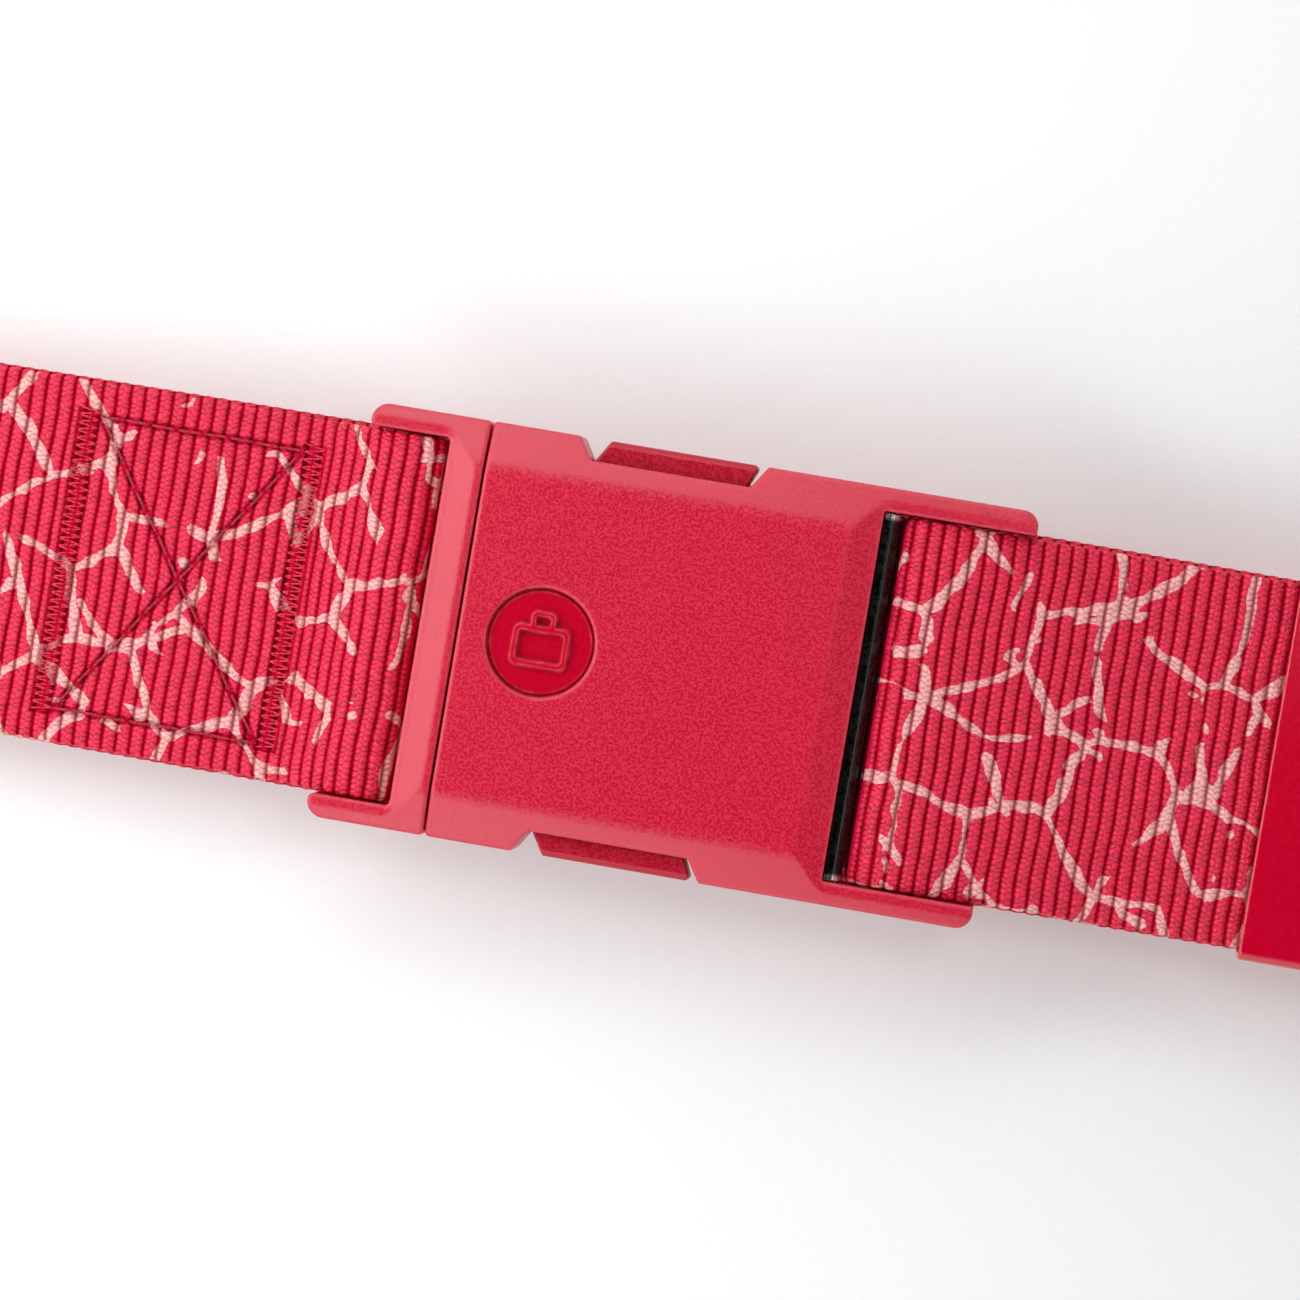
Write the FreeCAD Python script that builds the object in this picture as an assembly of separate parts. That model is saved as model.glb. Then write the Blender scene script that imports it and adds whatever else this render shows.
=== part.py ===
import FreeCAD
import Part

import math
import os

from FreeCAD import Vector

# A luggage strap: ribbed webbing in one closed loop, joined by a side-release buckle whose socket
# half also adjusts the length. The strap is buckled and folded flat for storage, with five layers
# of webbing under the run that carries the buckle. Millimetres. X runs along the strap towards the
# adjuster, Y across it and Z up, from the table that the lowest layer lies on.

# Webbing and its folds
WEBBING_WIDTH = 50.0
WEBBING_THICKNESS = 1.8
LAYER_GAP = 0.3  # between two layers that lie on each other
BUNDLE_LENGTH = 304.0  # folded strap, over its end bends
SEWN_GAP = 0.2  # between the two layers that are held together by stitching or by the keeper
WRAP_GAP = 0.15  # between a crossbar and the webbing around it
CREST_RUN = 1.0  # level webbing past a crossbar, before it slopes away
FLOOR_CUT = -120.0  # where the moving end of the webbing meets the folded part, on the lowest layer
UNDER_BEND = 12.0  # bends of the runs that slope up to the buckle, lower layer and upper layer
UNDER_CREST_BEND = 6.0
CREST_BEND = 5.0
SEWN_BEND = 9.0
LONG_BEND = 20.0
ADJUSTER_CREST_BEND = 12.0
KEPT_BEND = 40.0
SEWN_RUN_OUT = 2.0  # level webbing past the sewn end, before the top run drops behind it
DROP_RUN = 20.0
TAIL_CUT = 120.0  # where the folded part meets the adjustable end, on the highest folded layer

# Buckle, both halves
EAR_THICKNESS = 3.2
EAR_GAP = 0.3  # between the webbing's edge and an ear
BUCKLE_THICKNESS = 11.5
SHOULDER_WIDTH = 6.3  # sloping band along each side of the top
SHOULDER_DROP = 1.8
RIDGE_RADIUS = 7.0
END_BEVEL = 4.2  # gentle slope of the top, down to each slot
END_BEVEL_DROP = 1.3
END_BEVEL_RADIUS = 6.0
EDGE_RADIUS = 0.6
SOFT_EDGE = 0.35  # rounding of every moulded edge
SHARP_TURN = 20.0  # faces that meet at more than this many degrees have an edge between them
SHELL = 2.2  # floor and roof of the socket
SEAM = 0.3  # between the two halves
BAR_THICKNESS = 4.0
BAR_FLAT = 0.1  # left between the round edges of a crossbar

# Plug half
PLUG_WEB = 5.15
PLUG_EAR_LENGTH = 11.1
PLUG_SLOT_GAP = 0.35  # between the wrapped webbing and the wall of its slot
PLUG_SLOT_CORNER = 0.7
PLUG_EAR_RADIUS = 2.3
PLUG_EAR_TIP = 0.8
GUIDE_WIDTH = 16.0
GUIDE_TIP_RADIUS = 3.0
SOCKET_CLEARANCE = 0.4  # guide and arms to the socket's floor and roof
PIVOT_DEPTH = 2.2  # arm pivot, behind the front face of the plug half
PIVOT_FROM_SIDE = 11.0
KNUCKLE_RADIUS = 1.6
KNUCKLE_CLEARANCE = 0.05
NECK_THICKNESS = 2.0
NECK_ANGLE = 21.0
PRESS_ANGLE = 10.0
TAB_WIDTH = 6.9  # press tab with its arm, across the strap
TAB_BEVEL = 0.7
TAB_RADIUS = 0.5
ARM_BEND_RADIUS = 3.0
HOOK_LENGTH = 3.6  # arm's tip, past the press tab
HOOK_NOSE = 1.0
HOOK_BACK = 0.8
HOOK_STEP = 1.5

# Socket half
SOCKET_LENGTH = 54.1
SOCKET_EAR_LENGTH = 20.7
SOCKET_WALL = 2.9
SOCKET_EAR_RADIUS = 2.2
CAVITY_PAST_WINDOW = 3.9
CAVITY_RADIUS = 1.0
GUIDE_END_GAP = 3.5  # between the guide's tip and the end of the cavity
WINDOW_START = 11.9
WINDOW_LENGTH = 25.8
WINDOW_DEPTH = 3.1
WINDOW_SLOPE = 1.95
WINDOW_RADIUS = 0.5
TAB_START_GAP = 0.3
TAB_END_GAP = 1.2
PRESS_ROOM = 1.3  # extra length of the side opening, for the tab's swing
RIB_THICKNESS = 1.6
RIB_GAP = 0.6
RIB_LENGTH = 20.0
ADJUSTER_BAR = 4.4
BADGE_RADIUS = 7.4
BADGE_FROM_EDGE = 11.3
BADGE_DEPTH = 1.4
BADGE_PLATE = 0.5
BADGE_CLEARANCE = SOFT_EDGE + 0.01  # the plate stands clear of the rounded foot of its recess
BADGE_EDGE = 0.12
CASE_WIDTH = 7.8  # suitcase sign on the badge: its outline, its handle and their line widths
CASE_LOW = -3.4
CASE_HIGH = 2.2
CASE_LINE = 0.8
CASE_RADIUS = 1.0
HANDLE_WIDTH = 3.4
HANDLE_HIGH = 4.2
HANDLE_LINE = 0.7
HANDLE_RADIUS = 0.8

# Lock bar
LOCK_WIDTH = 2.3
LOCK_HEIGHT = 5.2
LOCK_RADIUS = 0.5
LOCK_EDGE = 0.15
LOCK_WALL_GAP = 0.1
LOCK_WEBBING_GAP = 0.25
LOCK_END_GAP = 0.2
LOCK_PIN_RADIUS = 0.8
LOCK_PIN_LENGTH = 1.2
LOCK_PIN_CLEARANCE = 0.1
LOCK_TRAVEL = 1.0
NEARLY_ROUND = 0.98  # corner radius of the pin slot, as a share of its half width

# Keeper
KEEPER_FROM_BUCKLE = 36.1
KEEPER_LENGTH = 38.0
KEEPER_WALL = 1.1
KEEPER_CLEARANCE = 0.3
KEEPER_RADIUS = 1.6
KEEPER_BORE_RADIUS = 0.4
KEEPER_RUN_IN = 19.0  # flat run of webbing between the keeper and the slope to the adjuster
TAIL_END_GAP = 18.0  # between the end of the tail and the fold

# Sewing
BOX_FROM_BAR = 12.9  # crossbar centre to the first bar tack
BOX_LENGTH = 34.8  # over both bar tacks
BOX_HALF_WIDTH = 20.3
TACK_LENGTH = 3.0
THREAD_WIDTH = 0.7
THREAD_PROUD = 0.15
SEWN_MARGIN = 5.4  # folded-back end, past the far bar tack

# Sizes that follow
LAYER_PITCH = WEBBING_THICKNESS + LAYER_GAP
HALF = WEBBING_THICKNESS / 2
EDGE_Y = WEBBING_WIDTH / 2
EAR_Y = EDGE_Y + EAR_GAP
SIDE_Y = EAR_Y + EAR_THICKNESS
LAYER_5, LAYER_4, LAYER_3, LAYER_2, LAYER_1 = (HALF + LAYER_PITCH * n for n in range(5))
STACK_TOP = LAYER_1 + HALF
BUCKLE_BASE = STACK_TOP + LAYER_GAP
TOP_RUN = LAYER_1 + LAYER_PITCH
BAR_Z = BUCKLE_BASE + BUCKLE_THICKNESS / 2
WRAP = BAR_THICKNESS / 2 + WRAP_GAP + HALF

BUCKLE_LENGTH = PLUG_EAR_LENGTH + PLUG_WEB + SEAM + SOCKET_LENGTH + SOCKET_EAR_LENGTH
PLUG_END = -BUCKLE_LENGTH / 2
PLUG_SLOT = PLUG_END + PLUG_EAR_LENGTH
PLUG_FACE = PLUG_SLOT + PLUG_WEB
SOCKET_FACE = PLUG_FACE + SEAM
SOCKET_SLOT = SOCKET_FACE + SOCKET_LENGTH
SOCKET_END = SOCKET_SLOT + SOCKET_EAR_LENGTH
PLUG_BAR_X = PLUG_SLOT - PLUG_SLOT_GAP - HALF - WRAP
LOCK_X = SOCKET_SLOT + LOCK_WALL_GAP + LOCK_WIDTH / 2
WEBBING_EDGE = LOCK_X + LOCK_WIDTH / 2 + LOCK_WEBBING_GAP
ADJUSTER_X = WEBBING_EDGE + WEBBING_THICKNESS + WRAP_GAP + ADJUSTER_BAR / 2

WINDOW_LEFT = SOCKET_FACE + WINDOW_START
WINDOW_RIGHT = WINDOW_LEFT + WINDOW_LENGTH
WINDOW_FLOOR = SIDE_Y - WINDOW_DEPTH
CAVITY_END = WINDOW_RIGHT + CAVITY_PAST_WINDOW
PIVOT_X = PLUG_FACE - PIVOT_DEPTH
PIVOT_Y = SIDE_Y - PIVOT_FROM_SIDE

KEEPER_LEFT = SOCKET_END + KEEPER_FROM_BUCKLE
KEEPER_FLOOR = BUCKLE_BASE + KEEPER_WALL
TAIL_Z = KEEPER_FLOOR + KEEPER_CLEARANCE + HALF
KEPT_Z = TAIL_Z + WEBBING_THICKNESS + SEWN_GAP
UNDER_Z = BUCKLE_BASE + HALF
SEWN_Z = UNDER_Z + WEBBING_THICKNESS + SEWN_GAP
BOX_RIGHT = PLUG_BAR_X - BOX_FROM_BAR
BOX_LEFT = BOX_RIGHT - BOX_LENGTH

LEFT_END = -BUNDLE_LENGTH / 2 + HALF  # centre line of the outermost bend on the left
RIGHT_END = BUNDLE_LENGTH / 2 - HALF
OUTER_BEND = (TOP_RUN - LAYER_5) / 2
MIDDLE_BEND = (LAYER_1 - LAYER_4) / 2
INNER_BEND = (LAYER_2 - LAYER_3) / 2
TOP_FOLD = (KEPT_Z - LAYER_1) / 2

TINY = 1e-6
PLANES = {
    "plan": (Vector(1, 0, 0), Vector(0, 1, 0), Vector(0, 0, 1)),
    "side": (Vector(1, 0, 0), Vector(0, 0, 1), Vector(0, 1, 0)),
    "section": (Vector(0, 1, 0), Vector(0, 0, 1), Vector(1, 0, 0)),
}


def rounded_corner(before, corner, after):
    """The arc that rounds one (u, v, radius) corner: its start, middle, end and centre."""
    here = Vector(corner[0], corner[1], 0)
    way_in = (here - Vector(before[0], before[1], 0)).normalize()
    way_out = (Vector(after[0], after[1], 0) - here).normalize()
    reach = corner[2] * math.tan(way_in.getAngle(way_out) / 2)
    start = here - way_in * reach
    end = here + way_out * reach
    if corner[2] < TINY:
        return here, here, here, here
    side = math.copysign(corner[2], way_in.cross(way_out).z)
    centre = start + Vector(-way_in.y, way_in.x, 0) * side
    middle = centre + (here - centre).normalize() * corner[2]
    return start, middle, end, centre


def rounded_path(points, closed):
    """The straight runs (start, end) and arcs (start, middle, end, centre) through the corners."""
    last = len(points) - 1
    arcs = []
    for index, point in enumerate(points):
        if closed or 0 < index < last:
            after = points[(index + 1) % len(points)]
            arcs.append(rounded_corner(points[index - 1], point, after))
        else:
            end = Vector(point[0], point[1], 0)
            arcs.append((end, end, end, end))
    pieces = []
    followers = arcs[1:] + arcs[:1] if closed else arcs[1:]
    for arc, following in zip(arcs, followers):
        if arc[0].distanceToPoint(arc[2]) > TINY:
            pieces.append(arc)
        if arc[2].distanceToPoint(following[0]) > TINY:
            pieces.append((arc[2], following[0]))
    return pieces


def shifted(piece, offset):
    """A run or an arc moved sideways, to the left of its direction if offset is positive."""
    if len(piece) == 2:
        way = (piece[1] - piece[0]).normalize()
        step = Vector(-way.y, way.x, 0) * offset
        return piece[0] + step, piece[1] + step
    start, middle, end, centre = piece
    turn = (start - centre).cross(end - centre).z
    radius = start.distanceToPoint(centre)
    scale = (radius - math.copysign(offset, turn * offset)) / radius
    return tuple(centre + (point - centre) * scale for point in (start, middle, end)) + (centre,)


def edge_of(piece, plane, level):
    """A run or an arc as an edge in one of the planes, at a level along the plane's normal."""
    u, v, normal = PLANES[plane]
    points = [u * p.x + v * p.y + normal * level for p in piece]
    if len(points) == 2:
        return Part.LineSegment(*points).toShape()
    return Part.Arc(*points[:3]).toShape()


def prism(points, plane, low, high):
    """A solid between two levels whose outline has (u, v, radius) corners."""
    edges = [edge_of(piece, plane, low) for piece in rounded_path(points, True)]
    return Part.Face(Part.Wire(edges)).extrude(PLANES[plane][2] * (high - low))


def band(route):
    """Webbing whose centre line follows (x, z, radius) corners, across the strap's full width."""
    pieces = rounded_path(route, False)
    upper = [shifted(piece, HALF) for piece in pieces]
    lower = [shifted(piece, -HALF) for piece in pieces]
    first_cap = (upper[0][0], lower[0][0])
    last_cap = (upper[-1][-1] if len(upper[-1]) == 2 else upper[-1][2],
                lower[-1][-1] if len(lower[-1]) == 2 else lower[-1][2])
    edges = [edge_of(piece, "side", -EDGE_Y) for piece in upper + [last_cap] + lower[::-1] + [first_cap]]
    wire = Part.Wire(Part.__sortEdges__(edges))
    return Part.Face(wire).extrude(Vector(0, WEBBING_WIDTH, 0))


def box(low, high):
    """A box between two opposite corners."""
    size = Vector(*high) - Vector(*low)
    return Part.makeBox(size.x, size.y, size.z, Vector(*low))


def mirrored(shape):
    """The same piece on the other side of the strap's centre line."""
    return shape.mirror(Vector(0, 0, 0), Vector(0, 1, 0))


def buckle_outline(upper_half):
    """A closed plan from its half at positive Y, given from left to right."""
    lower_half = [(x, -y, radius) for x, y, radius in upper_half]
    return lower_half + upper_half[::-1]


def buckle_block(outline):
    """A slab of the buckle with sloping shoulders and the outline given, standing on Z 0."""
    top = BUCKLE_THICKNESS
    ridge = SIDE_Y - SHOULDER_WIDTH
    half_section = [
        (SIDE_Y, 0, 0),
        (SIDE_Y, top - SHOULDER_DROP, 0),
        (ridge, top, RIDGE_RADIUS),
    ]
    section = half_section + [(-y, z, radius) for y, z, radius in half_section[::-1]]
    slab = prism(section, "section", PLUG_END - 1, SOCKET_END + 1)
    return slab.common(prism(outline, "plan", 0, top))


def crossbar(centre_x, width):
    """The bar that webbing wraps, sunk a little into both ears."""
    left, right = centre_x - width / 2, centre_x + width / 2
    low = (BUCKLE_THICKNESS - BAR_THICKNESS) / 2
    high = low + BAR_THICKNESS
    radius = (BAR_THICKNESS - BAR_FLAT) / 2
    corners = [(x, z, radius) for x, z in ((left, low), (right, low), (right, high), (left, high))]
    sunk = EAR_Y + EAR_THICKNESS / 2
    return prism(corners, "side", -sunk, sunk)


def end_bevel(crest, slot, end):
    """What is cut off the top of a half: a slope down to its slot, and level from there to its end."""
    top = BUCKLE_THICKNESS
    low = top - END_BEVEL_DROP
    corners = [
        (crest, top, 0), (slot, low, END_BEVEL_RADIUS), (end, low, 0), (end, top + 1, 0),
        (crest, top + 1, 0),
    ]
    return prism(corners, "side", -SIDE_Y, SIDE_Y)


def turn_at(shape, edge):
    """Degrees between the two faces that meet at an edge, or 0 where there is only one."""
    middle = edge.valueAt((edge.FirstParameter + edge.LastParameter) / 2)
    faces = shape.ancestorsOfType(edge, Part.Face)
    normals = [face.normalAt(*face.Surface.parameter(middle)) for face in faces]
    return math.degrees(normals[0].getAngle(normals[-1]))


def softened(shape, radius):
    """The shape with its sharp edges rounded over."""
    return shape.makeFillet(radius, [edge for edge in shape.Edges if turn_at(shape, edge) > SHARP_TURN])


def raised(shape):
    """A buckle piece moved up onto the folded webbing."""
    return shape.translated(Vector(0, 0, BUCKLE_BASE))


def arm_levels():
    """Lowest and highest Z of the guide and the arms, inside the socket."""
    low = SHELL + SOCKET_CLEARANCE
    return low, BUCKLE_THICKNESS - low


def neck_room(angle):
    """Space for the arm's neck, from the pivot and turned outwards by an angle."""
    low, high = arm_levels()
    half = NECK_THICKNESS / 2 + SEAM
    extra = SOCKET_CLEARANCE / 2
    bar = box((0, -half, low - extra), (3 * PIVOT_DEPTH, half, high + extra))
    bar.rotate(Vector(0, 0, 0), Vector(0, 0, 1), angle)
    return bar.translated(Vector(PIVOT_X, PIVOT_Y, 0))


def knuckle(radius, extra=0.0):
    """The round root of an arm, or its seat."""
    low, high = arm_levels()
    base = Vector(PIVOT_X, PIVOT_Y, low - extra)
    return Part.makeCylinder(radius, high - low + 2 * extra, base)


def make_latch_arm():
    """Press tab, arm and round root in one piece, on the positive Y side."""
    low, high = arm_levels()
    side_clear = SIDE_Y - SOCKET_WALL - SOCKET_CLEARANCE
    inner_y = side_clear - (TAB_WIDTH - WINDOW_DEPTH)
    tab_left = WINDOW_LEFT + WINDOW_SLOPE + TAB_START_GAP
    tab_right = WINDOW_RIGHT - TAB_END_GAP
    neck_way = math.radians(NECK_ANGLE)
    across = Vector(-math.sin(neck_way), math.cos(neck_way), 0) * (NECK_THICKNESS / 2)
    root = Vector(PIVOT_X, PIVOT_Y, 0)
    meet_x = PIVOT_X + (inner_y - (PIVOT_Y - across.y)) / math.tan(neck_way) - across.x
    outline = [
        (root.x - across.x, root.y - across.y, 0),
        (meet_x, inner_y, ARM_BEND_RADIUS),
        (tab_right + HOOK_LENGTH - HOOK_NOSE, inner_y, TAB_RADIUS),
        (tab_right + HOOK_LENGTH, inner_y + HOOK_NOSE, TAB_RADIUS),
        (tab_right + HOOK_BACK, side_clear, TAB_RADIUS),
        (tab_right - HOOK_STEP, side_clear, TAB_RADIUS / 2),
        (tab_right, SIDE_Y, TAB_RADIUS),
        (tab_left + WINDOW_SLOPE, SIDE_Y, TAB_RADIUS),
        (tab_left, side_clear, TAB_RADIUS),
        (root.x + across.x, root.y + across.y, 0),
    ]
    bevelled = [
        (PIVOT_Y - 2 * KNUCKLE_RADIUS, low, 0),
        (SIDE_Y - TAB_BEVEL, low, 0),
        (SIDE_Y, low + TAB_BEVEL, 0),
        (SIDE_Y, high - TAB_BEVEL, 0),
        (SIDE_Y - TAB_BEVEL, high, 0),
        (PIVOT_Y - 2 * KNUCKLE_RADIUS, high, 0),
    ]
    arm = prism(outline, "plan", low, high).common(prism(bevelled, "section", PLUG_END, SOCKET_END))
    return softened(arm.fuse(knuckle(KNUCKLE_RADIUS)).removeSplitter(), SOFT_EDGE)


def make_plug_frame():
    """Web, ears, crossbar and centre guide of the plug half, with the seats of both arms."""
    outline = buckle_outline([
        (PLUG_SLOT, EAR_Y, PLUG_SLOT_CORNER),
        (PLUG_END, EAR_Y, PLUG_EAR_TIP),
        (PLUG_END, SIDE_Y, PLUG_EAR_RADIUS),
        (PLUG_FACE, SIDE_Y, EDGE_RADIUS),
    ])
    frame = buckle_block(outline).cut(end_bevel(PLUG_SLOT + END_BEVEL, PLUG_SLOT, PLUG_END - 1))
    low, high = arm_levels()
    half = GUIDE_WIDTH / 2
    tip = CAVITY_END - GUIDE_END_GAP
    guide = prism([
        (PLUG_FACE - 1, -half, 0), (tip, -half, GUIDE_TIP_RADIUS),
        (tip, half, GUIDE_TIP_RADIUS), (PLUG_FACE - 1, half, 0),
    ], "plan", low, high)
    frame = frame.fuse([crossbar(PLUG_BAR_X, BAR_THICKNESS), guide])
    seat = knuckle(KNUCKLE_RADIUS + KNUCKLE_CLEARANCE, SOCKET_CLEARANCE / 2)
    for angle in (NECK_ANGLE, NECK_ANGLE - PRESS_ANGLE / 2, NECK_ANGLE - PRESS_ANGLE):
        seat = seat.fuse(neck_room(angle))
    return softened(frame.cut([seat, mirrored(seat)]).removeSplitter(), SOFT_EDGE)


def make_socket_cavity():
    """The space inside the socket half, open at its face and at both press windows."""
    wall = SIDE_Y - SOCKET_WALL
    end = CAVITY_END
    open_right = WINDOW_RIGHT + PRESS_ROOM
    outline = buckle_outline([
        (SOCKET_FACE - 1, wall, 0),
        (WINDOW_LEFT + WINDOW_SLOPE - (wall - WINDOW_FLOOR) * WINDOW_SLOPE / WINDOW_DEPTH, wall, 0),
        (WINDOW_LEFT - WINDOW_SLOPE / WINDOW_DEPTH, SIDE_Y + 1, 0),
        (open_right, SIDE_Y + 1, 0),
        (open_right, wall, 0),
        (end, wall, CAVITY_RADIUS),
    ])
    cavity = prism(outline, "plan", SHELL, BUCKLE_THICKNESS - SHELL)
    rib_y = GUIDE_WIDTH / 2 + RIB_GAP
    rib = box((end - RIB_LENGTH, rib_y, 0), (end, rib_y + RIB_THICKNESS, BUCKLE_THICKNESS))
    return cavity.cut([rib, mirrored(rib)])


def lock_slot():
    """The upright slot in both ears that the lock bar's pins ride in."""
    radius = LOCK_PIN_RADIUS + LOCK_PIN_CLEARANCE
    middle = lock_middle()
    corners = [
        (LOCK_X - radius, middle - radius, radius * NEARLY_ROUND),
        (LOCK_X + radius, middle - radius, radius * NEARLY_ROUND),
        (LOCK_X + radius, middle + LOCK_TRAVEL + radius, radius * NEARLY_ROUND),
        (LOCK_X - radius, middle + LOCK_TRAVEL + radius, radius * NEARLY_ROUND),
    ]
    reach = EAR_Y + LOCK_PIN_LENGTH
    return prism(corners, "side", -reach, reach)


def lock_middle():
    """Height of the lock bar's centre above the buckle's underside."""
    return BUCKLE_THICKNESS - SHELL - LOCK_HEIGHT / 2


def make_buckle_body():
    """The socket half: shell with press windows, badge recess, ears and adjuster crossbar."""
    outline = buckle_outline([
        (SOCKET_FACE, SIDE_Y, EDGE_RADIUS),
        (WINDOW_LEFT, SIDE_Y, WINDOW_RADIUS),
        (WINDOW_LEFT + WINDOW_SLOPE, WINDOW_FLOOR, WINDOW_RADIUS),
        (WINDOW_RIGHT - WINDOW_SLOPE, WINDOW_FLOOR, WINDOW_RADIUS),
        (WINDOW_RIGHT, SIDE_Y, WINDOW_RADIUS),
        (SOCKET_END, SIDE_Y, SOCKET_EAR_RADIUS),
        (SOCKET_END, EAR_Y, 0),
        (SOCKET_SLOT, EAR_Y, 0),
    ])
    top = BUCKLE_THICKNESS
    recess_at = Vector(SOCKET_FACE + BADGE_FROM_EDGE, 0, top - BADGE_DEPTH)
    recess = Part.makeCylinder(BADGE_RADIUS, BADGE_DEPTH + 1, recess_at)
    block = buckle_block(outline).cut([
        end_bevel(SOCKET_SLOT - END_BEVEL, SOCKET_SLOT, SOCKET_END + 1),
        recess,
    ])
    body = softened(block.removeSplitter(), SOFT_EDGE).fuse(crossbar(ADJUSTER_X, ADJUSTER_BAR))
    return body.cut([make_socket_cavity(), lock_slot()]).removeSplitter()


def make_badge():
    """A round plate in the recess, with a plain raised suitcase sign."""
    centre_x = SOCKET_FACE + BADGE_FROM_EDGE
    base_z = BUCKLE_THICKNESS - BADGE_DEPTH
    plate = Part.makeCylinder(BADGE_RADIUS - BADGE_CLEARANCE, BADGE_PLATE, Vector(centre_x, 0, base_z))

    def slab(half, low, high, radius):
        left, right = centre_x - half, centre_x + half
        corners = [(left, low, radius), (right, low, radius), (right, high, radius), (left, high, radius)]
        return prism(corners, "plan", base_z + BADGE_PLATE / 2, BUCKLE_THICKNESS)

    def ring(width, low, high, line, radius):
        inner = slab(width / 2 - line, low + line, high - line, radius / 2)
        return slab(width / 2, low, high, radius).cut(inner)

    case = ring(CASE_WIDTH, CASE_LOW, CASE_HIGH, CASE_LINE, CASE_RADIUS)
    handle = ring(HANDLE_WIDTH, CASE_HIGH - HANDLE_LINE, HANDLE_HIGH, HANDLE_LINE, HANDLE_RADIUS)
    return softened(plate, BADGE_EDGE).fuse([softened(case, BADGE_EDGE), softened(handle, BADGE_EDGE)])


def make_lock_bar():
    """The steel bar beside the adjuster slot, with a pin at each end."""
    half_width, half_height = LOCK_WIDTH / 2, LOCK_HEIGHT / 2
    middle = lock_middle()
    corners = [
        (LOCK_X - half_width, middle - half_height, LOCK_RADIUS),
        (LOCK_X + half_width, middle - half_height, LOCK_RADIUS),
        (LOCK_X + half_width, middle + half_height - LOCK_WIDTH / 2, LOCK_RADIUS),
        (LOCK_X, middle + half_height, LOCK_RADIUS),
        (LOCK_X - half_width, middle + half_height, LOCK_RADIUS / 2),
    ]
    half_length = EAR_Y - LOCK_END_GAP
    bar = prism(corners, "side", -half_length, half_length)
    pin_reach = EAR_Y + LOCK_PIN_LENGTH - LOCK_END_GAP
    pin = Part.makeCylinder(
        LOCK_PIN_RADIUS, 2 * pin_reach, Vector(LOCK_X, -pin_reach, middle), Vector(0, 1, 0)
    )
    return softened(bar.fuse(pin).removeSplitter(), LOCK_EDGE)


def make_keeper():
    """The sleeve that holds the tail against the strap."""
    bore_y = EDGE_Y + KEEPER_CLEARANCE
    bore_top = KEPT_Z + HALF + KEEPER_CLEARANCE

    def tube(y, low, high, radius):
        corners = [(-y, low, radius), (y, low, radius), (y, high, radius), (-y, high, radius)]
        return prism(corners, "section", KEEPER_LEFT, KEEPER_LEFT + KEEPER_LENGTH)

    outer = tube(bore_y + KEEPER_WALL, BUCKLE_BASE, bore_top + KEEPER_WALL, KEEPER_RADIUS)
    sleeve = outer.cut(tube(bore_y, KEEPER_FLOOR, bore_top, KEEPER_BORE_RADIUS))
    return softened(sleeve, SOFT_EDGE)


def make_webbing_sewn_end():
    """From the folded-back end, round the plug's crossbar, along the top and down the left bend."""
    wrap_x = PLUG_BAR_X + WRAP
    slope_start = PLUG_BAR_X - BAR_THICKNESS / 2 - CREST_RUN
    crest = BAR_Z + WRAP
    under = BAR_Z - WRAP
    drop_start = BOX_LEFT - SEWN_MARGIN - SEWN_RUN_OUT
    return band([
        (BOX_LEFT - SEWN_MARGIN, UNDER_Z, 0),
        (BOX_RIGHT, UNDER_Z, UNDER_BEND),
        (slope_start, under, UNDER_CREST_BEND),
        (wrap_x, under, WRAP),
        (wrap_x, crest, WRAP),
        (slope_start, crest, CREST_BEND),
        (BOX_RIGHT, SEWN_Z, SEWN_BEND),
        (drop_start, SEWN_Z, LONG_BEND),
        (drop_start - DROP_RUN, TOP_RUN, LONG_BEND),
        (LEFT_END, TOP_RUN, OUTER_BEND),
        (LEFT_END, LAYER_5, OUTER_BEND),
        (FLOOR_CUT, LAYER_5, 0),
    ])


def make_webbing_folds():
    """The five stored layers, from the lowest to the highest."""
    middle_end = LEFT_END + LAYER_PITCH
    inner_end = LEFT_END + 2 * LAYER_PITCH
    short_end = RIGHT_END - LAYER_PITCH
    return band([
        (FLOOR_CUT, LAYER_5, 0),
        (RIGHT_END, LAYER_5, MIDDLE_BEND),
        (RIGHT_END, LAYER_2, MIDDLE_BEND),
        (inner_end, LAYER_2, INNER_BEND),
        (inner_end, LAYER_3, INNER_BEND),
        (short_end, LAYER_3, INNER_BEND),
        (short_end, LAYER_4, INNER_BEND),
        (middle_end, LAYER_4, MIDDLE_BEND),
        (middle_end, LAYER_1, MIDDLE_BEND),
        (TAIL_CUT, LAYER_1, 0),
    ])


def make_webbing_tail():
    """From the highest stored layer up the fold, over the adjuster's crossbar and back as the tail."""
    wrap_x = WEBBING_EDGE + HALF
    crest = BAR_Z + WRAP
    under = BAR_Z - WRAP
    slope_start = ADJUSTER_X + ADJUSTER_BAR / 2 + CREST_RUN
    slope_end = KEEPER_LEFT - KEEPER_RUN_IN
    return band([
        (TAIL_CUT, LAYER_1, 0),
        (RIGHT_END, LAYER_1, TOP_FOLD),
        (RIGHT_END, KEPT_Z, TOP_FOLD),
        (slope_end, KEPT_Z, KEPT_BEND),
        (slope_start, crest, ADJUSTER_CREST_BEND),
        (wrap_x, crest, WRAP),
        (wrap_x, under, WRAP),
        (slope_start, under, ADJUSTER_CREST_BEND),
        (slope_end, TAIL_Z, KEPT_BEND),
        (RIGHT_END - TOP_FOLD - TAIL_END_GAP, TAIL_Z, 0),
    ])


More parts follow.
